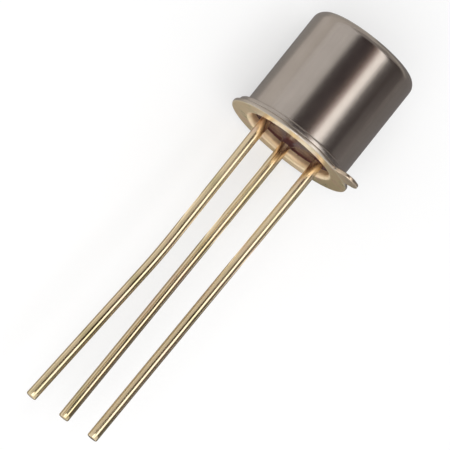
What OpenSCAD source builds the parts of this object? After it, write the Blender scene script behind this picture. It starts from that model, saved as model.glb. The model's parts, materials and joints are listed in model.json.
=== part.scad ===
// Small metal-can transistor with three wire leads, lying on its side as it comes to rest.
// Every piece is drawn standing, with the seating plane at z = 0, the can above it, the leads
// below it and the emitter lead at +x, and is then laid down by at_rest().

/* [Can] */
// Outer diameter of the can
can_d = 4.65; // [4.5:0.01:5.2]
// Height of the can's top above the seating plane
can_top = 4.95; // [3:0.05:7]
// Thickness of the sheet that the can is drawn from
can_sheet = 0.2; // [0.12:0.01:0.25]
// Outer radius of the can's top edge
can_edge_r = 0.43; // [0.3:0.01:0.9]
// Outside radius where the wall turns out into the can's flange
can_bend_r = 0.1; // [0.05:0.01:0.15]
// How far the can's flange stands out from the wall
can_flange_w = 0.25; // [0.22:0.01:0.5]

/* [Header] */
// Thickness of the sheet that the header is stamped from
header_sheet = 0.16; // [0.1:0.01:0.22]
// Inside radius of the header's bends
header_bend_r = 0.05; // [0.03:0.01:0.1]
// How far the header's flange stands out past the can's flange
flange_lip = 0.15; // [0.05:0.01:0.4]
// Rounding of both flanges at their rims
rim_r = 0.05; // [0.02:0.005:0.06]
// Height of the platform's top above the seating plane
platform_top = 1; // [0.7:0.05:1.6]
// Gap all round between the header's cup and the can's wall
cup_gap = 0.115; // [0.03:0.005:0.15]
// Length of the index tab past the flange's rim
tab_l = 0.81; // [0.5:0.01:1.3]
// Width of the index tab
tab_w = 1; // [0.9:0.01:1.4]
// Corner radius of the index tab
tab_corner_r = 0.42; // [0.05:0.01:0.44]

/* [Glass] */
// How far the glass stands back in the cup from the end of the flange's bend
glass_sink = 0.12; // [0:0.01:0.15]
// Height of the collar that the glass forms on the cup's wall
wall_collar_h = 0.06; // [0.03:0.005:0.1]
// Height of the collar that the glass forms on each lead
lead_collar_h = 0.15; // [0.05:0.01:0.18]
// Width of the glass ring between a post and the edge of its hole in the platform
hole_glass = 0.22; // [0.1:0.01:0.26]

/* [Leads] */
// Diameter of the leads
lead_d = 0.44; // [0.38:0.01:0.5]
// Diameter of the circle that the leads stand on
lead_circle_d = 2.54; // [2.2:0.01:2.6]
// Length of the emitter lead below the seating plane
emitter_lead_l = 13.4; // [8:0.05:40]
// Length of the base lead below the seating plane
base_lead_l = 13.3; // [8:0.05:40]
// Length of the collector lead below the seating plane
collector_lead_l = 13.65; // [8:0.05:40]
// Angle that the emitter lead is bent through
emitter_bend = 0.9; // [0.2:0.1:6]
// Angle that the base lead is bent through
base_bend = 0.6; // [0.2:0.1:6]
// Angle that the collector lead is bent through
collector_bend = 3.4; // [0.2:0.1:6]
// Radius of the bends, at the middle of the wire
bend_r = 30; // [10:1:40]
// Straight length of the emitter and base leads above their bends
short_root = 0.5; // [0.2:0.1:3]
// Straight length of the collector lead above its bend
long_root = 5.4; // [0.2:0.1:6]
// How much the wire swells all round in a bend
bend_swell = 0.004; // [0.002:0.001:0.01]
// Size of the bevel that the cutter leaves round each tip
tip_bevel = 0.05; // [0.02:0.01:0.1]

/* [Posts] */
// Height of the posts above the platform
post_h = 0.34; // [0.2:0.01:0.8]
// Diameter of the flattened heads of the posts
post_head_d = 0.62; // [0.56:0.01:0.8]
// Thickness of the flattened heads
post_head_t = 0.1; // [0.05:0.01:0.15]

/* [Chip] */
// Side of the square chip
chip_w = 0.5; // [0.36:0.01:0.8]
// Thickness of the chip
chip_t = 0.2; // [0.1:0.01:0.3]
// Thickness of the solder under the chip
solder_t = 0.03; // [0.02:0.005:0.06]
// How far the solder shows round the chip
solder_lip = 0.04; // [0.01:0.01:0.1]
// Distance of the two bonds on the chip from its middle
pad_offset = 0.12; // [0.1:0.01:0.13]
// Diameter of the bond wires
wire_d = 0.04; // [0.025:0.005:0.05]
// Angle that a bond wire turns through over its loop
wire_arc = 110; // [60:5:150]
// Diameter of the flattened bonds at the ends of the wires
bond_d = 0.1; // [0.08:0.01:0.12]
// Thickness of the flattened bonds
bond_t = 0.06; // [0.055:0.005:0.08]

/* [Rest] */
// Side that lies down, as an angle round the can from the emitter lead towards the base lead
rest_side = 97; // [0:1:180]

/* [Hidden] */
$fn = 96;

// Smallest inside radius that the can's top edge may be drawn with
least_in_r = 0.01;
// Largest share of a sheet's thickness that the rounding of its rim may take
rim_share = 0.45;
// How far the hollow of a glass collar reaches, in heights of the collar
collar_spread = 1.3;

can_r = can_d / 2;
can_in_r = can_r - can_sheet;
can_edge_in_r = max(can_edge_r - can_sheet, least_in_r);
can_flange_r = can_r + can_flange_w;
can_flange_top = header_sheet + can_sheet;

flange_r = can_flange_r + flange_lip;
header_rim_r = min(rim_r, rim_share * header_sheet);
can_rim_r = min(rim_r, rim_share * can_sheet);
cup_r = can_in_r - cup_gap;
cup_in_r = cup_r - header_sheet;
platform_under = platform_top - header_sheet;
// The tab starts in the middle of the flange's flat ring
tab_root_r = (cup_r + header_bend_r + flange_r - header_rim_r) / 2;
tab_side = -41;

// Height of the glass's open face, above its collar on the wall
glass_z = header_sheet + header_bend_r + glass_sink + wall_collar_h;

lead_r = lead_d / 2;
lead_circle_r = lead_circle_d / 2;
hole_r = lead_r + hole_glass;
emitter_side = 0;
base_side = 90;
collector_side = 180;
// The straight stretches of a wire run a little way into its bend
bend_lap = 0.05;

post_top = platform_top + post_h;
chip_bottom = platform_top + solder_t;
chip_top = chip_bottom + chip_t;

// At rest a straight line, the surface it lies on, touches two rounded edges of the standing
// profile: the rim of the header's flange and the top edge of the can
rim_z = header_sheet - header_rim_r;
rim_mid_r = flange_r - header_rim_r;
edge_z = can_top - can_edge_r;
edge_mid_r = can_r - can_edge_r;
edge_span = norm([edge_z - rim_z, rim_mid_r - edge_mid_r]);
rest_tilt = atan2(rim_mid_r - edge_mid_r, edge_z - rim_z)
    - asin((can_edge_r - header_rim_r) / edge_span);
rest_h = rim_z * sin(rest_tilt) + rim_mid_r * cos(rest_tilt) + header_rim_r;
can_end_x = edge_mid_r * sin(rest_tilt) + edge_z * cos(rest_tilt) + can_edge_r;
lead_end_x = max(emitter_lead_l, base_lead_l, collector_lead_l) * cos(rest_tilt);

nickel = [0.67, 0.65, 0.63];
gold = [0.83, 0.72, 0.48];
dark_glass = [0.27, 0.17, 0.16];
silicon = [0.36, 0.38, 0.44];

// Lays a standing piece down on the flange's rim and the can's top edge
module at_rest() {
    translate([(lead_end_x - can_end_x) / 2, 0, rest_h])
        rotate([0, 90 + rest_tilt, 0])
            rotate(-rest_side)
                children();
}

// Moves a piece to the place of a lead
module on_lead_circle(side) {
    translate([lead_circle_r * cos(side), lead_circle_r * sin(side), 0])
        children();
}

// Flat strip along x, from x = 0, whose two far corners are rounded
module strip(l, w, r) {
    translate([0, -w / 2])
        square([l - r, w]);
    translate([0, r - w / 2])
        square([l, w - 2 * r]);
    for (side = [-1, 1])
        translate([l - r, side * (w / 2 - r)])
            circle(r);
}

// Section of a sheet bent through a quarter turn about the origin, in the quadrant of +x and +y
module bend_section(in_r, sheet) {
    intersection() {
        difference() {
            circle(in_r + sheet);
            circle(in_r);
        }
        square(in_r + sheet);
    }
}

// Half section of the header: flange, bend, cup wall, bend, platform
module header_section() {
    bend_out_r = header_bend_r + header_sheet;
    flange_in_r = cup_r + header_bend_r;
    translate([flange_in_r, header_sheet / 2])
        strip(flange_r - flange_in_r, header_sheet, header_rim_r);
    translate([flange_in_r, bend_out_r])
        rotate(180)
            bend_section(header_bend_r, header_sheet);
    translate([cup_in_r, bend_out_r])
        square([header_sheet, platform_top - 2 * bend_out_r]);
    translate([cup_in_r - header_bend_r, platform_top - bend_out_r])
        bend_section(header_bend_r, header_sheet);
    translate([0, platform_under])
        square([cup_in_r - header_bend_r, header_sheet]);
}

// Half section of the can: flange, bend, wall, bend, top
module can_section() {
    flange_in_r = can_r + can_bend_r;
    wall_z = can_flange_top + can_bend_r;
    translate([flange_in_r, header_sheet + can_sheet / 2])
        strip(can_flange_r - flange_in_r, can_sheet, can_rim_r);
    translate([flange_in_r, wall_z])
        rotate(180)
            bend_section(can_bend_r, can_sheet);
    translate([can_in_r, wall_z])
        square([can_sheet, edge_z - wall_z]);
    translate([edge_mid_r, edge_z])
        bend_section(can_edge_in_r, can_edge_r - can_edge_in_r);
    translate([0, can_top - can_sheet])
        square([edge_mid_r, can_sheet]);
}

// Section of a glass collar below a corner at the origin, with one leg along +x. Its hollow is an
// arc that meets the wall and the glass at a low angle.
module collar_section(h) {
    reach = collar_spread * h;
    difference() {
        polygon([[0, 0], [0, -h], [h, 0]]);
        translate([reach, -reach])
            circle(norm([reach, reach - h]));
    }
}

// Half section of the glass in the cup, with the collar on the cup's wall
module glass_section() {
    glass_h = platform_under - glass_z;
    translate([0, glass_z]) {
        square([cup_in_r, glass_h - header_bend_r]);
        square([cup_in_r - header_bend_r, glass_h]);
        translate([cup_in_r - header_bend_r, glass_h - header_bend_r])
            circle(header_bend_r);
        translate([cup_in_r, 0])
            mirror([1, 0])
                collar_section(wall_collar_h);
    }
}

// Glass below the cup's face that closes on a lead
module lead_collar() {
    rotate_extrude()
        translate([0, glass_z]) {
            translate([0, -lead_collar_h])
                square([lead_r, lead_collar_h]);
            translate([lead_r, 0])
                collar_section(lead_collar_h);
        }
}

// Wire from its top inside the header down through a straight root and a slow bend to its cut tip
module lead(side, top, root, bend, length) {
    arc = bend_r * bend * PI / 180;
    tail = length - root - arc;
    lap = min(bend_lap, arc / 4);
    on_lead_circle(side)
        translate([0, 0, -root]) {
            translate([0, 0, -lap])
                cylinder(d = lead_d, h = lap + root + top);
            translate([-bend_r, 0, 0])
                rotate([-90, 0, 0])
                    rotate_extrude(angle = bend)
                        translate([bend_r, 0])
                            circle(lead_r + bend_swell);
            translate([bend_r * (cos(bend) - 1), 0, -bend_r * sin(bend)])
                rotate([180, bend, 0])
                    rotate_extrude()
                        polygon([
                            [0, -lap],
                            [lead_r, -lap],
                            [lead_r, tail - tip_bevel],
                            [lead_r - tip_bevel, tail],
                            [0, tail]
                        ]);
        }
}

// Wire that ends above the platform in a post with a flattened head
module post_lead(side, bend, length) {
    lead(side, post_top - post_head_t / 2, short_root, bend, length);
    on_lead_circle(side)
        translate([0, 0, post_top - post_head_t])
            cylinder(d = post_head_d, h = post_head_t);
}

// Bond wire that loops from the chip out to a post, with a flattened bond at each end
module bond_wire(side) {
    pad_z = chip_top + bond_t / 2;
    post_z = post_top + bond_t / 2;
    span = [lead_circle_r - pad_offset, post_z - pad_z];
    loop_r = norm(span) / 2 / sin(wire_arc / 2);
    rotate(side) {
        translate([pad_offset, 0, chip_top])
            cylinder(d = bond_d, h = bond_t);
        translate([lead_circle_r, 0, post_top])
            cylinder(d = bond_d, h = bond_t);
        translate([pad_offset + span[0] / 2, 0, pad_z + span[1] / 2])
            rotate([0, -atan2(span[1], span[0]), 0])
                translate([0, 0, -loop_r * cos(wire_arc / 2)])
                    rotate([90, 0, 0])
                        rotate(90 - wire_arc / 2)
                            rotate_extrude(angle = wire_arc)
                                translate([loop_r, 0])
                                    circle(d = wire_d);
    }
}

module can() {
    color(nickel)
        at_rest()
            rotate_extrude()
                can_section();
}

module header() {
    color(gold)
        at_rest()
            difference() {
                union() {
                    rotate_extrude()
                        header_section();
                    linear_extrude(header_sheet)
                        rotate(tab_side)
                            translate([tab_root_r, 0])
                                strip(flange_r + tab_l - tab_root_r, tab_w, tab_corner_r);
                }
                for (side = [emitter_side, base_side])
                    on_lead_circle(side)
                        translate([0, 0, platform_under - header_sheet])
                            cylinder(r = hole_r, h = 3 * header_sheet);
            }
}

module glass_seal() {
    color(dark_glass)
        at_rest()
            difference() {
                union() {
                    rotate_extrude()
                        glass_section();
                    for (side = [emitter_side, base_side, collector_side])
                        on_lead_circle(side)
                            lead_collar();
                    for (side = [emitter_side, base_side])
                        on_lead_circle(side)
                            translate([0, 0, platform_under])
                                cylinder(r = hole_r, h = header_sheet);
                }
                for (side = [emitter_side, base_side, collector_side])
                    on_lead_circle(side)
                        cylinder(d = lead_d, h = 2 * platform_top);
            }
}

module emitter_lead() {
    color(gold)
        at_rest()
            post_lead(emitter_side, emitter_bend, emitter_lead_l);
}

module base_lead() {
    color(gold)
        at_rest()
            post_lead(base_side, base_bend, base_lead_l);
}

module collector_lead() {
    color(gold)
        at_rest()
            lead(collector_side, platform_under, long_root, collector_bend, collector_lead_l);
}

module die_solder() {
    solder_w = chip_w + 2 * solder_lip;
    color(gold)
        at_rest()
            translate([-solder_w / 2, -solder_w / 2, platform_top])
                cube([solder_w, solder_w, solder_t]);
}

module chip() {
    color(silicon)
        at_rest()
            translate([-chip_w / 2, -chip_w / 2, chip_bottom])
                cube([chip_w, chip_w, chip_t]);
}

module emitter_wire() {
    color(gold)
        at_rest()
            bond_wire(emitter_side);
}

module base_wire() {
    color(gold)
        at_rest()
            bond_wire(base_side);
}

can();
header();
glass_seal();
emitter_lead();
base_lead();
collector_lead();
die_solder();
chip();
emitter_wire();
base_wire();
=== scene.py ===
import json
import math
import bmesh
import bpy
from mathutils import Matrix, Vector


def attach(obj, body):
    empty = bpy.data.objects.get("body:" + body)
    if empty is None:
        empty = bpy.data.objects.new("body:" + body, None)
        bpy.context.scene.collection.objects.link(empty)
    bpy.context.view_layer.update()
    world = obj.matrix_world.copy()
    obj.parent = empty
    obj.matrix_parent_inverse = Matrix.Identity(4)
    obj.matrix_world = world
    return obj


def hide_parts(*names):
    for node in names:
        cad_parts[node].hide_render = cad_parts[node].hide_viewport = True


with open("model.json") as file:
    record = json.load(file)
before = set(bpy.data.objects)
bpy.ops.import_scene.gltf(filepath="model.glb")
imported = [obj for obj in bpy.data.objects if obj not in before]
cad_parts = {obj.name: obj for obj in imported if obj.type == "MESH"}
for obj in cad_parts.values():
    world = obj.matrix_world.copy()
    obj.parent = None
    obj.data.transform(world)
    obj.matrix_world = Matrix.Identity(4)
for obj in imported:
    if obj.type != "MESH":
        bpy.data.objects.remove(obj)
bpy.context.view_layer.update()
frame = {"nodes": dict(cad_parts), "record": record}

scene = bpy.context.scene
scene.view_settings.view_transform = "Standard"
mm = 0.001
fullTurn = 2 * math.pi
mergeWithin = 1e-5  # mm
hair = 1e-4  # mm, closer than this counts as the same place
sharpFrom = 38  # degrees between faces that keep a sharp edge


# Standing frame of the part, in mm: seating plane at z 0, can upwards, emitter lead at +x
mounts = {m["name"]: m for m in frame["record"]["mounts"]}
wallMiddle = 2.49  # height of the middle of the can's straight wall
up = Vector(mounts["heat_sink_seat"]["axis"]).normalized()
canMiddle = Vector(mounts["heat_sink_seat"]["pos_m"])
toEmitter = Vector(mounts["emitter_pin"]["pos_m"]) - canMiddle
toEmitter = (toEmitter - toEmitter.dot(up) * up).normalized()
toBase = up.cross(toEmitter)
seatCentre = canMiddle - up * wallMiddle * mm
laid = Matrix((toEmitter, toBase, up)).transposed().to_4x4()  # standing to lying
laid.translation = seatCentre
print("standing frame read from the mounts")


# Mesh helpers, all in standing mm
def spunProfile(bm, corners, segments, arcSteps):
    # corners are (radius, height, rounding), in order round the section
    verts = [bm.verts.new((r, 0, z)) for r, z, rounding in corners]
    bm.faces.new(verts)
    for vert, (r, z, rounding) in zip(verts, corners):
        if rounding:
            bmesh.ops.bevel(bm, geom=[vert], offset=rounding, segments=arcSteps, profile=0.5,
                            affect="VERTICES", material=-1)
    bmesh.ops.delete(bm, geom=bm.faces[:], context="FACES_ONLY")
    onAxis = [e for e in bm.edges if max(abs(v.co.x) for v in e.verts) < hair]
    bmesh.ops.delete(bm, geom=onAxis, context="EDGES")
    bmesh.ops.spin(bm, geom=bm.verts[:] + bm.edges[:], cent=(0, 0, 0), axis=(0, 0, 1), dvec=(0, 0, 0),
                   angle=fullTurn, steps=segments, use_merge=True)
    bmesh.ops.remove_doubles(bm, verts=bm.verts[:], dist=mergeWithin)


def newVertsOf(geom):
    return [g for g in geom if isinstance(g, bmesh.types.BMVert)]


def ringOf(geom):
    verts = set(newVertsOf(geom))
    return [g for g in geom if isinstance(g, bmesh.types.BMEdge) and set(g.verts) <= verts]


def nextRing(bm, ring, centre, scale, lift):
    # carries an edge loop on: extrudes it, scales it about an upright line and lifts it
    geom = bmesh.ops.extrude_edge_only(bm, edges=ring)["geom"]
    verts = newVertsOf(geom)
    about = Matrix.Translation((-centre[0], -centre[1], 0))
    bmesh.ops.scale(bm, vec=(scale, scale, 1), space=about, verts=verts)
    bmesh.ops.translate(bm, vec=(0, 0, lift), verts=verts)
    return ringOf(geom)


def followProfile(bm, ring, centre, points):
    # points are (radius, height); the loop starts on the first of them
    for (r0, z0), (r1, z1) in zip(points, points[1:]):
        ring = nextRing(bm, ring, centre, r1 / r0, z1 - z0)
    return ring


def arcPoints(r, z, radius, start, end, steps):
    turn = [math.radians(start + (end - start) * i / steps) for i in range(steps + 1)]
    return [(r + radius * math.cos(t), z + radius * math.sin(t)) for t in turn]


def circleRing(bm, centre, z, radius, segments):
    verts = bmesh.ops.create_circle(bm, cap_ends=False, radius=radius, segments=segments,
                                    matrix=Matrix.Translation((centre[0], centre[1], z)))["verts"]
    return list({e for v in verts for e in v.link_edges})


def addPiece(bm, name, node, material, flatAt=None):
    bmesh.ops.remove_doubles(bm, verts=bm.verts[:], dist=mergeWithin)
    bmesh.ops.recalc_face_normals(bm, faces=bm.faces[:])
    for f in bm.faces:  # smooth, apart from a face that lies flat at one height
        f.smooth = flatAt is None or any(abs(v.co.z - flatAt) > hair for v in f.verts)
    bmesh.ops.scale(bm, vec=(mm, mm, mm), verts=bm.verts[:])
    bmesh.ops.transform(bm, matrix=laid, verts=bm.verts[:])
    openEdges = sum(1 for e in bm.edges if not e.is_manifold)
    mesh = bpy.data.meshes.new(name)
    bm.to_mesh(mesh)
    bm.free()
    mesh.set_sharp_from_angle(angle=math.radians(sharpFrom))
    mesh.materials.append(material)
    piece = bpy.data.objects.new(name, mesh)
    scene.collection.objects.link(piece)
    evenShading = piece.modifiers.new("evenShading", "WEIGHTED_NORMAL")
    evenShading.keep_sharp = True
    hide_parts(node)
    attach(piece, "root")
    print("piece", name, len(mesh.polygons), "faces", openEdges, "open edges")


# Material helpers
noiseLow = 0.3  # most of a noise value lies between these two
noiseHigh = 0.7


def newMaterial(name):
    material = bpy.data.materials.new(name)
    material.use_nodes = True
    tree = material.node_tree
    shader = tree.nodes["Principled BSDF"]
    return material, tree, shader


def addNode(tree, kind, inputs=None, **settings):
    node = tree.nodes.new(kind)
    for key, value in settings.items():
        setattr(node, key, value)
    for key, value in (inputs or {}).items():
        if isinstance(value, bpy.types.NodeSocket):
            tree.links.new(value, node.inputs[key])
        else:
            node.inputs[key].default_value = value
    return node


def standingCoords(tree):
    # Object coordinates turned back to the standing frame, in mm
    back = laid.to_3x3().inverted()
    coords = addNode(tree, "ShaderNodeTexCoord")
    mapping = addNode(tree, "ShaderNodeMapping", {
        "Vector": coords.outputs["Object"],
        "Scale": (1 / mm, 1 / mm, 1 / mm),
        "Rotation": back.to_euler(),
        "Location": -(back @ seatCentre) / mm,
    })
    return mapping.outputs["Vector"]


def noiseOf(tree, vector, scale, detail=3, rough=0.5):
    inputs = {"Vector": vector, "Scale": scale, "Detail": detail, "Roughness": rough}
    return addNode(tree, "ShaderNodeTexNoise", inputs).outputs["Fac"]


def stretched(tree, vector, scale):
    return addNode(tree, "ShaderNodeVectorMath", {0: vector, 1: scale}, operation="MULTIPLY").outputs[0]


def rampOf(tree, value, stops):
    node = addNode(tree, "ShaderNodeValToRGB", {"Fac": value})
    marks = node.color_ramp.elements
    while len(marks) < len(stops):
        marks.new(0.5)
    for mark, (place, colour) in zip(marks, stops):
        mark.position = place
        mark.color = (*colour, 1)
    return node.outputs["Color"]


def rangeOf(tree, value, low, high, toLow, toHigh):
    node = addNode(tree, "ShaderNodeMapRange", {"Value": value, "From Min": low, "From Max": high,
                                                "To Min": toLow, "To Max": toHigh})
    return node.outputs["Result"]


def spotsOf(tree, vector, scale, size):
    # scattered round spots, 1 in the core and 0 past the edge
    cells = addNode(tree, "ShaderNodeTexVoronoi", {"Vector": vector, "Scale": scale, "Randomness": 1})
    return rangeOf(tree, cells.outputs["Distance"], *size, 1, 0)


def roughFrom(tree, noise, limits, shader):
    rough = rangeOf(tree, noise, noiseLow, noiseHigh, *limits)
    tree.links.new(rough, shader.inputs["Roughness"])


def mixOf(tree, factor, first, second):
    node = addNode(tree, "ShaderNodeMix", data_type="RGBA")
    for index, value in ((0, factor), (6, first), (7, second)):
        if isinstance(value, bpy.types.NodeSocket):
            tree.links.new(value, node.inputs[index])
        else:
            node.inputs[index].default_value = value
    return node.outputs[2]


def mathOf(tree, operation, *values):
    return addNode(tree, "ShaderNodeMath", dict(enumerate(values)), operation=operation).outputs[0]


def bumpOf(tree, height, distance, strength, under=None):
    inputs = {"Height": height, "Distance": distance, "Strength": strength}
    if under:
        inputs["Normal"] = under
    return addNode(tree, "ShaderNodeBump", inputs).outputs["Normal"]


# Nickel: warm grey, satin, with fine grain and faint draw lines along the can
nickel = {
    "dark": (0.46, 0.405, 0.36),
    "pale": (0.53, 0.47, 0.42),
    "roughness": (0.22, 0.27),
    "cloud": 0.9,  # clouds to a mm
    "lines": (9, 9, 0.25),  # close together across the can, long down it
    "grain": 16,  # grains to a mm
    "grainDepth": 0.0000012,  # metres, as every depth of a bump is
}


def nickelMaterial():
    material, tree, shader = newMaterial("nickelCan")
    coords = standingCoords(tree)
    cloud = noiseOf(tree, coords, nickel["cloud"], 4)
    lines = noiseOf(tree, stretched(tree, coords, nickel["lines"]), 1)
    grain = noiseOf(tree, coords, nickel["grain"], 2, 0.6)
    tone = mathOf(tree, "ADD", mathOf(tree, "MULTIPLY", cloud, 0.6), mathOf(tree, "MULTIPLY", lines, 0.4))
    shader.inputs["Metallic"].default_value = 1
    colour = rampOf(tree, tone, [(noiseLow, nickel["dark"]), (noiseHigh, nickel["pale"])])
    tree.links.new(colour, shader.inputs["Base Color"])
    roughFrom(tree, grain, nickel["roughness"], shader)
    fine = bumpOf(tree, grain, nickel["grainDepth"], 0.6)
    tree.links.new(bumpOf(tree, lines, nickel["grainDepth"], 0.5, fine), shader.inputs["Normal"])
    return material


# Gold plating: pale, a little pink or olive in places, with marks drawn along the wire
gold = {
    "pale": (0.86, 0.70, 0.46),
    "pink": (0.80, 0.59, 0.43),
    "olive": (0.69, 0.59, 0.35),
    "cloud": 1.3,  # clouds to a mm
    "cloudStretch": (1, 1, 0.45),
    "lines": (14, 14, 0.5),
    "lineDepth": 0.0000018,
    "nick": (0.33, 0.22, 0.10),
    "nicks": 1.9,  # nicks to a mm
    "nickSize": (0.04, 0.075),  # core and edge, as shares of a cell
    "nickShare": 0.7,
    "wireRoughness": (0.1, 0.17),
    "headerRoughness": (0.26, 0.36),
    "pinkUnderGlass": (-0.75, -0.1),  # heights between which the wire turns pink
    "pinkShare": 0.4,
}
# Tints of the header by place: radii of cup, rim and tab, heights of the grey weld, all in mm
rim = {
    "cupFrom": 1.84, "cupTo": 2.02, "cupShare": 0.5, "cupRougher": 0.2,
    # painted highlight: the pale band just inside the rim stands for the light its lower rounding catches
    "paintedHighlight": (0.95, 0.85, 0.66), "highlightFrom": 2.64, "highlightTo": 2.69,
    "grey": (0.50, 0.44, 0.39), "greyFrom": 0.008, "greyTo": 0.03, "greyIn": 2.54, "greyShare": 0.9,
    "tab": (0.76, 0.59, 0.44), "tabFrom": 2.74, "tabTo": 2.85,
    # painted shade: the tab turns darker towards its end
    "paintedTabShade": (0.58, 0.47, 0.36), "endFrom": 3.0, "endTo": 3.2,
    "share": 0.8,
}


def goldTint(tree, coords):
    cloud = noiseOf(tree, stretched(tree, coords, gold["cloudStretch"]), gold["cloud"], 4)
    tint = rampOf(tree, cloud, [(0.34, gold["olive"]), (0.47, gold["pale"]), (0.56, gold["pale"]),
                                (0.68, gold["pink"])])
    return cloud, tint


def goldMarks(tree, coords, shader, tint):
    # lines along the drawn or turned metal, and a few dull nicks
    lines = noiseOf(tree, stretched(tree, coords, gold["lines"]), 1)
    nicks = spotsOf(tree, coords, gold["nicks"], gold["nickSize"])
    dull = mathOf(tree, "MULTIPLY", nicks, gold["nickShare"])
    tree.links.new(mixOf(tree, dull, tint, (*gold["nick"], 1)), shader.inputs["Base Color"])
    tree.links.new(bumpOf(tree, lines, gold["lineDepth"], 0.5), shader.inputs["Normal"])


def goldWireMaterial():
    # coordinates are those of the straight wire; the first stretch below the glass is a little pink
    material, tree, shader = newMaterial("goldWire")
    coords = addNode(tree, "ShaderNodeAttribute", attribute_name="drawn").outputs["Vector"]
    cloud, tint = goldTint(tree, coords)
    height = addNode(tree, "ShaderNodeSeparateXYZ", {"Vector": coords}).outputs["Z"]
    nearGlass = rangeOf(tree, height, *gold["pinkUnderGlass"], 0, gold["pinkShare"])
    shader.inputs["Metallic"].default_value = 1
    goldMarks(tree, coords, shader, mixOf(tree, nearGlass, tint, (*gold["pink"], 1)))
    roughFrom(tree, cloud, gold["wireRoughness"], shader)
    return material


def goldHeaderMaterial():
    # pink inside the cup and on the tab, a painted highlight just inside the rim, grey from the weld round
    # its side, and painted shade that darkens the tab towards its end
    material, tree, shader = newMaterial("goldHeader")
    coords = standingCoords(tree)
    cloud, tint = goldTint(tree, coords)
    height = addNode(tree, "ShaderNodeSeparateXYZ", {"Vector": coords}).outputs["Z"]
    flat = stretched(tree, coords, (1, 1, 0))
    radius = addNode(tree, "ShaderNodeVectorMath", {0: flat}, operation="LENGTH").outputs["Value"]
    inCup = rangeOf(tree, radius, rim["cupFrom"], rim["cupTo"], 1, 0)
    # painted highlight: a pale band just inside the rim
    highlightMask = rangeOf(tree, radius, rim["highlightFrom"], rim["highlightTo"], 0, rim["share"])
    onTab = rangeOf(tree, radius, rim["tabFrom"], rim["tabTo"], 0, rim["share"])
    # painted shade: the tab darker towards its end
    tabShadeMask = rangeOf(tree, radius, rim["endFrom"], rim["endTo"], 0, rim["share"])
    onSide = rangeOf(tree, height, rim["greyFrom"], rim["greyTo"], 0, rim["greyShare"])
    nearRim = rangeOf(tree, radius, rim["greyIn"], rim["highlightFrom"], 0, 1)
    offTab = rangeOf(tree, radius, rim["tabFrom"], rim["tabTo"], 1, 0)
    welded = mathOf(tree, "MULTIPLY", onSide, mathOf(tree, "MULTIPLY", nearRim, offTab))
    tint = mixOf(tree, mathOf(tree, "MULTIPLY", inCup, rim["cupShare"]), tint, (*gold["pink"], 1))
    tint = mixOf(tree, highlightMask, tint, (*rim["paintedHighlight"], 1))
    tint = mixOf(tree, onTab, tint, (*rim["tab"], 1))
    tint = mixOf(tree, tabShadeMask, tint, (*rim["paintedTabShade"], 1))
    tint = mixOf(tree, welded, tint, (*rim["grey"], 1))
    shader.inputs["Metallic"].default_value = 1
    goldMarks(tree, coords, shader, tint)
    satin = rangeOf(tree, cloud, noiseLow, noiseHigh, *gold["headerRoughness"])
    rough = mathOf(tree, "MULTIPLY_ADD", inCup, rim["cupRougher"], satin)
    tree.links.new(rough, shader.inputs["Roughness"])
    return material


# Sealing glass: dark maroon, with faint clouds and ripples
glass = {
    "dark": (0.050, 0.015, 0.014),
    "pale": (0.112, 0.038, 0.035),
    "roughness": (0.14, 0.26),
    "gloss": 0.14,
    "cloud": 2.2,  # clouds and ripples to a mm
    "ripple": 4.5,
    "rippleDepth": 0.000012,
}


def glassMaterial():
    material, tree, shader = newMaterial("sealGlass")
    coords = standingCoords(tree)
    cloud = noiseOf(tree, coords, glass["cloud"], 5)
    ripple = noiseOf(tree, coords, glass["ripple"], 2)
    colour = rampOf(tree, cloud, [(noiseLow, glass["dark"]), (0.72, glass["pale"])])
    tree.links.new(colour, shader.inputs["Base Color"])
    roughFrom(tree, cloud, glass["roughness"], shader)
    shader.inputs["Specular IOR Level"].default_value = glass["gloss"]
    tree.links.new(bumpOf(tree, ripple, glass["rippleDepth"], 0.5), shader.inputs["Normal"])
    return material


# Inside the can: soft gold solder and bond wires, polished silicon
inside = {
    "solder": (0.80, 0.60, 0.26),
    "solderDark": (0.62, 0.44, 0.17),
    "solderCloud": 9,  # clouds to a mm
    "solderRoughness": (0.25, 0.45),
    "solderDepth": 0.000004,
    "silicon": (0.16, 0.18, 0.24),
    "siliconPale": (0.30, 0.33, 0.42),
    "siliconCells": 11,
    "siliconLine": 0.04,
    "siliconCloud": 12,
    "siliconRoughness": (0.08, 0.2),
}


def solderMaterial():
    material, tree, shader = newMaterial("goldSolder")
    coords = standingCoords(tree)
    cloud = noiseOf(tree, coords, inside["solderCloud"], 4)
    shader.inputs["Metallic"].default_value = 1
    colour = rampOf(tree, cloud, [(noiseLow, inside["solderDark"]), (noiseHigh, inside["solder"])])
    tree.links.new(colour, shader.inputs["Base Color"])
    roughFrom(tree, cloud, inside["solderRoughness"], shader)
    tree.links.new(bumpOf(tree, cloud, inside["solderDepth"], 0.5), shader.inputs["Normal"])
    return material


def siliconMaterial():
    material, tree, shader = newMaterial("siliconDie")
    coords = standingCoords(tree)
    cells = addNode(tree, "ShaderNodeTexBrick", {
        "Vector": coords,
        "Scale": inside["siliconCells"],
        "Mortar Size": inside["siliconLine"],
        "Color1": (*inside["silicon"], 1),
        "Color2": (*inside["silicon"], 1),
        "Mortar": (*inside["siliconPale"], 1),
    })
    cloud = noiseOf(tree, coords, inside["siliconCloud"], 2)
    tree.links.new(cells.outputs["Color"], shader.inputs["Base Color"])
    roughFrom(tree, cloud, inside["siliconRoughness"], shader)
    return material


nickelCan = nickelMaterial()
goldWire = goldWireMaterial()
goldHeader = goldHeaderMaterial()
sealGlass = glassMaterial()
goldSolder = solderMaterial()
siliconDie = siliconMaterial()
print("materials made")


# Can: drawn cap with a rounded top edge and a flange turned out at its mouth
can = {"radius": 2.325, "top": 4.95, "sheet": 0.2, "edge": 0.43, "bend": 0.1, "flange": 2.575,
       "mouth": 0.16, "rim": 0.05, "segments": 192, "arcSteps": 10}


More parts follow.
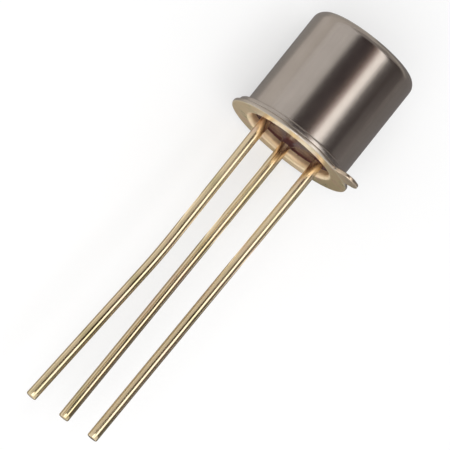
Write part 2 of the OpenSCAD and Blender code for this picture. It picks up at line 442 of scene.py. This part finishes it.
def makeCan():
    outer, top, sheet = can["radius"], can["top"], can["sheet"]
    inner = outer - sheet
    flangeTop = can["mouth"] + sheet
    bm = bmesh.new()
    spunProfile(bm, [
        (0, top, 0),
        (outer, top, can["edge"]),
        (outer, flangeTop, can["bend"]),
        (can["flange"], flangeTop, can["rim"]),
        (can["flange"], can["mouth"], can["rim"]),
        (inner, can["mouth"], can["bend"] + sheet),
        (inner, top - sheet, can["edge"] - sheet),
        (0, top - sheet, 0),
    ], can["segments"], can["arcSteps"])
    addPiece(bm, "canShell", "can", nickelCan)


makeCan()


# Header: flange with its index tab, bend, cup wall, bend and pierced platform, one stamping
header = {"flange": 2.721, "sheet": 0.16, "rim": 0.05, "bend": 0.05, "cup": 2.01, "platform": 1.0,
          "tabTip": 3.535, "tabWidth": 1.0, "tabCorner": 0.42, "tabTurn": -41, "tabClear": 0.09,
          "hole": 0.44, "segments": 180, "holeSegments": 48, "tabSteps": 14, "rimSteps": 4,
          "outSteps": 8, "inSteps": 6}
leadCircle = 1.27
leadTurns = {"emitter": 0, "base": 90, "collector": 180}


def onCircle(turn):
    return leadCircle * math.cos(math.radians(turn)), leadCircle * math.sin(math.radians(turn))


def makeHeader():
    sheet, bend, cup, segments = header["sheet"], header["bend"], header["cup"], header["segments"]
    outBend = bend + sheet
    flatIn = cup + bend  # where the flat ring ends and the bend begins
    rimIn = flatIn + 0.2  # parts the rim's points from those of the inner circle
    half = header["tabWidth"] / 2
    outSteps, inSteps = header["outSteps"], header["inSteps"]
    bm = bmesh.new()
    outerRing = circleRing(bm, (0, 0), 0, header["flange"], segments)
    innerRing = circleRing(bm, (0, 0), 0, flatIn, segments)
    bmesh.ops.bridge_loops(bm, edges=outerRing + innerRing)
    # cut the ring where the tab's sides meet it, then pull the arc between them out to the tab's end
    for side in (-half, half):
        near = [f for f in bm.faces if f.calc_center_median().x > 0]
        geom = near + list({e for f in near for e in f.edges}) + list({v for f in near for v in f.verts})
        bmesh.ops.bisect_plane(bm, geom=geom, dist=1e-6, plane_co=(0, side, 0), plane_no=(0, 1, 0))
    # rim points close to the tab's sides would fold under the rounding
    close = [v for v in bm.verts if v.is_boundary and v.co.x > rimIn
             and hair < abs(abs(v.co.y) - half) < header["tabClear"]]
    bmesh.ops.dissolve_verts(bm, verts=close)
    arc = [e for e in bm.edges if e.is_boundary
           and all(v.co.x > rimIn and abs(v.co.y) < half + hair for v in e.verts)]
    tip = newVertsOf(bmesh.ops.extrude_edge_only(bm, edges=arc)["geom"])
    bmesh.ops.scale(bm, vec=(0, 1, 1), space=Matrix.Translation((-header["tabTip"], 0, 0)), verts=tip)
    corners = [v for v in tip if abs(abs(v.co.y) - half) < hair]
    bmesh.ops.dissolve_verts(bm, verts=[v for v in tip if v not in corners])
    bmesh.ops.bevel(bm, geom=corners, offset=header["tabCorner"], segments=header["tabSteps"], profile=0.5,
                    affect="VERTICES", material=-1)
    # give the flat sheet its thickness, open at the inner circle, and round its rim
    thick = bmesh.ops.extrude_face_region(bm, geom=bm.faces[:], use_keep_orig=True)["geom"]
    bmesh.ops.translate(bm, vec=(0, 0, sheet), verts=newVertsOf(thick))
    walls = [f for f in bm.faces if abs(f.calc_center_median().z - sheet / 2) < sheet / 4]
    inWalls = [f for f in walls if f.calc_center_median().xy.length < rimIn]
    rimEdges = [e for f in walls if f not in inWalls for e in f.edges
                if abs(e.verts[0].co.z - e.verts[1].co.z) < hair]
    bmesh.ops.delete(bm, geom=inWalls, context="FACES")
    bmesh.ops.bevel(bm, geom=rimEdges, offset=header["rim"], segments=header["rimSteps"], profile=0.5,
                    affect="EDGES", material=-1)
    bmesh.ops.rotate(bm, cent=(0, 0, 0), matrix=Matrix.Rotation(math.radians(header["tabTurn"]), 3, "Z"),
                     verts=bm.verts[:])
    # carry both inner circles on through the bends and up the cup
    loops = [e for e in bm.edges if e.is_boundary]
    under = [e for e in loops if e.verts[0].co.z < sheet / 2]
    over = [e for e in loops if e.verts[0].co.z > sheet / 2]
    platformUnder = header["platform"] - sheet
    shoulder = header["platform"] - outBend
    cupIn = cup - sheet
    under = followProfile(bm, under, (0, 0), arcPoints(flatIn, outBend, outBend, -90, -180, outSteps)
                          + arcPoints(cupIn - bend, shoulder, bend, 0, 90, inSteps))
    over = followProfile(bm, over, (0, 0), arcPoints(flatIn, outBend, bend, -90, -180, inSteps)
                         + arcPoints(cupIn - bend, shoulder, outBend, 0, 90, outSteps))
    # close the platform on both sides, with a hole round each post
    holes = [onCircle(leadTurns[name]) for name in ("emitter", "base")]
    for level, ring in ((platformUnder, under), (header["platform"], over)):
        cuts = [circleRing(bm, hole, level, header["hole"], header["holeSegments"]) for hole in holes]
        bmesh.ops.triangle_fill(bm, use_beauty=True, edges=ring + [e for cut in cuts for e in cut])
    rims = [e for e in bm.edges if e.is_boundary]
    holeReach = header["hole"] + 0.01
    for hole in holes:
        pair = [e for e in rims if all((v.co.xy - Vector(hole)).length < holeReach for v in e.verts)]
        bmesh.ops.bridge_loops(bm, edges=pair)
    addPiece(bm, "headerStamping", "header", goldHeader)


makeHeader()


# Glass: fills the cup, with a collar on the wall and on each lead, and a plug in each hole of the platform
seal = {"face": 0.39, "wallCollar": 0.06, "leadCollar": 0.15, "collarReach": 1.3, "wall": 1.85, "top": 0.84,
        "bend": 0.05, "plugTop": 1.0, "plug": 0.44, "leadRadius": 0.22, "segments": 180, "leadSegments": 48,
        "arcSteps": 6}


def collarPoints(r, way, tall):
    # hollow arc from the glass face down to a wall at radius r; way is 1 away from the axis, -1 towards it
    reach = seal["collarReach"] * tall
    radius = math.hypot(reach, reach - tall)
    low = math.degrees(math.asin((reach - tall) / radius))
    arc = arcPoints(0, 0, radius, 90 + low, 180 - low, seal["arcSteps"])
    return [(r + way * (reach + x), seal["face"] - reach + z) for x, z in arc]


def makeGlass():
    face, wall, bend = seal["face"], seal["wall"], seal["bend"]
    centres = {name: onCircle(turn) for name, turn in leadTurns.items()}
    wallCollar = collarPoints(wall, -1, seal["wallCollar"])
    leadCollar = collarPoints(seal["leadRadius"], 1, seal["leadCollar"])
    bm = bmesh.new()
    outer = circleRing(bm, (0, 0), face, wallCollar[0][0], seal["segments"])
    inner = {name: circleRing(bm, centre, face, leadCollar[0][0], seal["leadSegments"])
             for name, centre in centres.items()}
    bmesh.ops.triangle_fill(bm, use_beauty=True, edges=outer + [e for ring in inner.values() for e in ring])
    shoulder = arcPoints(wall - bend, seal["top"] - bend, bend, 0, 90, seal["arcSteps"])
    top = followProfile(bm, outer, (0, 0), wallCollar + shoulder)
    leadRadius, plug, plugTop = seal["leadRadius"], seal["plug"], seal["plugTop"]
    holes = []
    for name, centre in centres.items():
        if name == "collector":
            shaft = [(leadRadius, seal["top"])]
        else:
            shaft = [(leadRadius, plugTop), (plug, plugTop), (plug, seal["top"])]
        holes += followProfile(bm, inner[name], centre, leadCollar + shaft)
    bmesh.ops.triangle_fill(bm, use_beauty=True, edges=top + holes)
    addPiece(bm, "sealingGlass", "glass_seal", sealGlass, flatAt=face)


makeGlass()


# Leads: drawn wire with a cut tip and a slow bend towards -x; two of them end inside in a headed post
wire = {"radius": 0.22, "tipBevel": 0.055, "tipSteps": 4, "segments": 56, "cuts": 90, "bendRadius": 30,
        "bendSteps": 14, "headRadius": 0.31, "headThick": 0.1, "postTop": 1.34, "markShift": (3.1, 1.7, 0)}
leads = {
    "emitter": {"length": 13.4, "bend": 0.9, "root": 0.5, "top": wire["postTop"] - wire["headThick"]},
    "base": {"length": 13.3, "bend": 0.6, "root": 0.5, "top": wire["postTop"] - wire["headThick"]},
    "collector": {"length": 13.65, "bend": 3.4, "root": 5.4, "top": 0.84},
}


def makeLead(name):
    lead = leads[name]
    radius = wire["radius"]
    whole = lead["length"] + lead["top"]
    bm = bmesh.new()
    middle = (lead["top"] - lead["length"]) / 2
    bmesh.ops.create_cone(bm, cap_ends=True, segments=wire["segments"], radius1=radius, radius2=radius,
                          depth=whole, matrix=Matrix.Translation((0, 0, middle)))
    caps = {round(f.calc_center_median().z, 3): f for f in bm.faces if len(f.verts) > 4}
    tipFace = caps[min(caps)]
    topFace = caps[max(caps)]
    if name != "collector":  # spread the top into a flat head
        for grow, lift in ((wire["headRadius"] / radius, 0), (1, wire["headThick"])):
            geom = bmesh.ops.extrude_face_region(bm, geom=[topFace])["geom"]
            bmesh.ops.delete(bm, geom=[topFace], context="FACES_ONLY")
            bmesh.ops.scale(bm, vec=(grow, grow, 1), verts=newVertsOf(geom))
            bmesh.ops.translate(bm, vec=(0, 0, lift), verts=newVertsOf(geom))
            topFace = next(g for g in geom if isinstance(g, bmesh.types.BMFace))
    bmesh.ops.bevel(bm, geom=list(tipFace.edges), offset=wire["tipBevel"], segments=wire["tipSteps"],
                    profile=0.5, affect="EDGES", material=-1)
    sides = [e for e in bm.edges if abs(e.verts[0].co.z - e.verts[1].co.z) > whole / 2]
    bmesh.ops.subdivide_edges(bm, edges=sides, cuts=wire["cuts"], use_grid_fill=True)
    # remember the straight wire, so that its marks follow the bend, and shift them from lead to lead
    drawn = bm.verts.layers.float_vector.new("drawn")
    shift = Vector(wire["markShift"]) * (1 + list(leads).index(name))
    for v in bm.verts:
        v[drawn] = v.co + shift
    stepTurn = math.radians(lead["bend"]) / wire["bendSteps"]
    stepLength = wire["bendRadius"] * stepTurn
    pivot = Vector((0, 0, -lead["root"] - stepLength / 2))
    way = Vector((0, 0, -1))
    straight = {v: v.co.z for v in bm.verts}
    for step in range(wire["bendSteps"]):
        station = -lead["root"] - (step + 0.5) * stepLength
        below = [v for v in bm.verts if straight[v] < station]
        turn = Matrix.Rotation(stepTurn, 3, "Y")
        bmesh.ops.rotate(bm, cent=pivot, matrix=turn, verts=below)
        way = turn @ way
        pivot = pivot + way * stepLength
    x, y = onCircle(leadTurns[name])
    bmesh.ops.translate(bm, vec=(x, y, 0), verts=bm.verts[:])
    addPiece(bm, name + "Wire", name + "_lead", goldWire)


for leadName in leads:
    makeLead(leadName)


# The CAD solids inside the can keep their shape and get a finish
for nodeName, finish in (("die_solder", goldSolder), ("chip", siliconDie), ("emitter_wire", goldSolder),
                         ("base_wire", goldSolder)):
    mesh = frame["nodes"][nodeName].data
    mesh.materials.clear()
    mesh.materials.append(finish)
print("inside pieces dressed")


# Camera: the leads' way and the line across them as the photograph shows them (right, up, towards the lens)
view = {
    "leadWay": (-0.6128, -0.7671, 0.18),
    "acrossWay": (0.7813, -0.6242, 0),
    "emitterTurn": -5,
    "frameWidth": 17.02,  # mm at the part
    "framePixels": 450,
    "seatAt": (288.4, 146.6),  # middle of the seating plane, in pixels of the frame
    "distance": 0.3,  # metres
    "sensor": 36,
}


def makeCamera():
    leadWay = Vector(view["leadWay"]).normalized()
    acrossWay = Vector(view["acrossWay"]).normalized()
    seen = Matrix((acrossWay, leadWay.cross(acrossWay), leadWay))
    turn = math.radians(view["emitterTurn"])
    across = math.cos(turn) * toEmitter + math.sin(turn) * toBase
    there = Matrix((across, (-up).cross(across), -up)).transposed()
    look = there @ seen
    right, upward, back = look.col
    pixel = view["frameWidth"] * mm / view["framePixels"]
    offRight, offDown = (place - view["framePixels"] / 2 for place in view["seatAt"])
    aim = seatCentre - right * offRight * pixel + upward * offDown * pixel
    data = bpy.data.cameras.new("photoCamera")
    data.sensor_width = view["sensor"]
    data.lens = view["sensor"] * view["distance"] / (view["frameWidth"] * mm)
    data.clip_start = 0.01
    data.clip_end = 10
    camera = bpy.data.objects.new("photoCamera", data)
    scene.collection.objects.link(camera)
    camera.matrix_world = Matrix.Translation(aim + back * view["distance"]) @ look.to_4x4()
    scene.camera = camera
    return across, (-up).cross(across)


toRight, toLens = makeCamera()
print("camera set")


# Pale floor, soft sky, a long strip lamp, a soft fill lamp that leans from the lens towards the leads, and
# cards that only reflections see, a few of them with a little light of their own. Strip and cards stand
# round the can's axis: turn is degrees from the lens, to the right with the leads hanging down, along is mm
# from the seating plane. The floor cards lie flat, with x along the can and y across it, in mm.
stage = {
    "floor": (0.55, 0.55, 0.55),
    "floorSize": 1.2,
    "glow": 0.47,
    "sky": 0.76,
    "strip": {"turn": 31.5, "spread": 17, "tall": 120, "far": 60, "radiance": 0.98},
    "fill": {"lean": 30, "wide": 30, "tall": 60, "far": 60, "radiance": 1.35},
    "paperRoughness": 0.9,
    "cardSteps": 12,
    "cardLift": 0.02,  # mm over the floor
    "cards": {
        "overCan": {"turns": (-27.5, 9), "along": (6.6, 45), "far": 40, "colour": (0.058, 0.034, 0.042)},
        "warmEdge": {"turns": (9, 17), "along": (7.8, 45), "far": 40, "colour": (0.20, 0.10, 0.08)},
        "warmGlow": {"turns": (17, 23), "along": (7.8, 45), "far": 40, "colour": (0.95, 0.68, 0.58)},
        "beyondTop": {"turns": (-60, 120), "along": (45, 200), "far": 40, "colour": (0.6, 0.57, 0.55)},
        "besideDark": {"turns": (46, 73), "along": (7, 45), "far": 40, "colour": (0.06, 0.042, 0.05)},
        "besideHigh": {"turns": (43, 95), "along": (12.4, 45), "far": 39, "colour": (0.13, 0.11, 0.11)},
        "besideGrey": {"turns": (73, 135), "along": (7, 45), "far": 40, "colour": (0.35, 0.33, 0.33)},
        "leftOfLeads": {"turns": (-85, -18), "along": (-4, 17), "far": 100, "colour": (0.86, 0.83, 0.78),
                        "glow": 0.12},
        "overLeads": {"turns": (-18, 18), "along": (-4, 15.5), "far": 100, "colour": (0.05, 0.03, 0.012)},
        "leadGlow": {"turns": (19, 53), "along": (-4, 17), "far": 100, "colour": (0.9, 0.9, 0.9),
                     "glow": 0.8},
        "rightOfLeads": {"turns": (53, 120), "along": (-4, 17), "far": 100, "colour": (0.19, 0.18, 0.18)},
    },
    # The floor cards are painted shade on the floor as reflections see it, under and beside the part;
    # underRim, pale and with a glow, is a painted light.
    "floorCards": {
        "leftOfCan": {"x": (4.2, 11), "y": (0.5, 5.5), "colour": (0.40, 0.39, 0.38)},
        "leftBeyond": {"x": (4.2, 11), "y": (5.5, 22), "colour": (0.72, 0.70, 0.68)},
        "rightOfCan": {"x": (4.2, 18), "y": (-40, -0.5), "colour": (0.25, 0.24, 0.24)},
        "underCan": {"x": (4.2, 11), "y": (-0.5, 0.5), "colour": (0.36, 0.35, 0.34)},
        "topLeft": {"x": (11, 120), "y": (-0.5, 5.5), "colour": (0.55, 0.53, 0.50)},
        "topBeyond": {"x": (11, 120), "y": (5.5, 80), "colour": (0.66, 0.64, 0.61)},
        "topRight": {"x": (18, 120), "y": (-80, -0.5), "colour": (0.55, 0.53, 0.50)},
        "underFlange": {"x": (1, 4.2), "y": (1, 9), "colour": (0.50, 0.48, 0.44)},
        "underCup": {"x": (3.4, 4.2), "y": (-2, 1), "colour": (0.66, 0.62, 0.56)},
        "underRim": {"x": (0.2, 3.3), "y": (-1.3, 1), "colour": (0.9, 0.9, 0.9), "glow": 0.45},
        "underTab": {"x": (1, 4.2), "y": (-9, -2), "colour": (0.30, 0.28, 0.23)},
        "underLeads": {"x": (-14, 0), "y": (-1, 12), "colour": (0.40, 0.37, 0.33)},
        "besideLeads": {"x": (-14, 0), "y": (-100, -1), "colour": (0.17, 0.16, 0.16)},
    },
}


def around(turn, far, along):
    # a point round the can's axis, in metres
    angle = math.radians(turn)
    return seatCentre + (up * along + toLens * far * math.cos(angle) + toRight * far * math.sin(angle)) * mm


def stageObject(name, bm, material):
    mesh = bpy.data.meshes.new(name)
    bm.to_mesh(mesh)
    bm.free()
    mesh.materials.append(material)
    thing = bpy.data.objects.new(name, mesh)
    scene.collection.objects.link(thing)
    return thing


def paper(name, colour, glow=0):
    material, tree, shader = newMaterial(name)
    shader.inputs["Base Color"].default_value = (*colour, 1)
    shader.inputs["Roughness"].default_value = stage["paperRoughness"]
    shader.inputs["Specular IOR Level"].default_value = 0
    shader.inputs["Emission Color"].default_value = (1, 1, 1, 1)
    shader.inputs["Emission Strength"].default_value = glow
    return material, tree, shader


def makeFloor():
    # a little glow for the lens and for reflections takes the pale paper to white and keeps the shadow
    material, tree, shader = paper("palePaper", stage["floor"])
    path = addNode(tree, "ShaderNodeLightPath")
    seen = mathOf(tree, "MAXIMUM", path.outputs["Is Camera Ray"], path.outputs["Is Glossy Ray"])
    seen = mathOf(tree, "MAXIMUM", seen, path.outputs["Is Transmission Ray"])
    tree.links.new(mathOf(tree, "MULTIPLY", seen, stage["glow"]), shader.inputs["Emission Strength"])
    bm = bmesh.new()
    bmesh.ops.create_grid(bm, x_segments=4, y_segments=4, size=stage["floorSize"])
    stageObject("paleFloor", bm, material)


def addCard(name, bm, card):
    # only reflections see it
    material = paper(name + "Card", card["colour"], card.get("glow", 0))[0]
    thing = stageObject(name, bm, material)
    thing.visible_camera = False
    thing.visible_diffuse = False
    thing.visible_shadow = False
    thing.visible_transmission = False


def makeCards():
    for name, card in stage["cards"].items():
        bm = bmesh.new()
        start, end = (around(card["turns"][0], card["far"], along) for along in card["along"])
        verts = [bm.verts.new(start), bm.verts.new(end)]
        edge = bm.edges.new(verts)
        bmesh.ops.spin(bm, geom=verts + [edge], cent=seatCentre, axis=up, dvec=(0, 0, 0),
                       steps=stage["cardSteps"], angle=math.radians(card["turns"][1] - card["turns"][0]))
        addCard(name, bm, card)
    for name, card in stage["floorCards"].items():
        bm = bmesh.new()
        middle = [sum(card[way]) / 2 * mm for way in "xy"]
        half = [(card[way][1] - card[way][0]) / 2 * mm for way in "xy"]
        bmesh.ops.create_grid(bm, x_segments=1, y_segments=1, size=1)
        bmesh.ops.scale(bm, vec=(*half, 1), verts=bm.verts[:])
        bmesh.ops.translate(bm, vec=(*middle, stage["cardLift"] * mm), verts=bm.verts[:])
        addCard(name, bm, card)


def makeLamp(name, place, aim, wide, tall, radiance):
    # a flat lamp that faces its aim, its tall side along the can's axis; sizes in mm
    data = bpy.data.lights.new(name, "AREA")
    data.shape = "RECTANGLE"
    data.size = wide * mm
    data.size_y = tall * mm
    data.energy = radiance * math.pi * data.size * data.size_y
    lamp = bpy.data.objects.new(name, data)
    scene.collection.objects.link(lamp)
    back = (place - aim).normalized()
    side = up.cross(back).normalized()
    facing = Matrix((side, back.cross(side), back)).transposed()
    lamp.matrix_world = Matrix.Translation(place) @ facing.to_4x4()
    lamp.visible_camera = False


def makeLamps():
    strip, fill = stage["strip"], stage["fill"]
    wide = 2 * strip["far"] * math.tan(math.radians(strip["spread"] / 2))
    place = around(strip["turn"], strip["far"], 0)
    makeLamp("stripLamp", place, seatCentre, wide, strip["tall"], strip["radiance"])
    lean = math.radians(fill["lean"])
    place = seatCentre + (toLens * math.cos(lean) - up * math.sin(lean)) * fill["far"] * mm
    makeLamp("fillLamp", place, seatCentre, fill["wide"], fill["tall"], fill["radiance"])


def makeSky():
    world = bpy.data.worlds.new("studio")
    scene.world = world
    world.use_nodes = True
    sky = world.node_tree.nodes["Background"]
    sky.inputs["Color"].default_value = (1, 1, 1, 1)
    sky.inputs["Strength"].default_value = stage["sky"]


makeFloor()
makeSky()
makeLamps()
makeCards()
print("floor and light set")
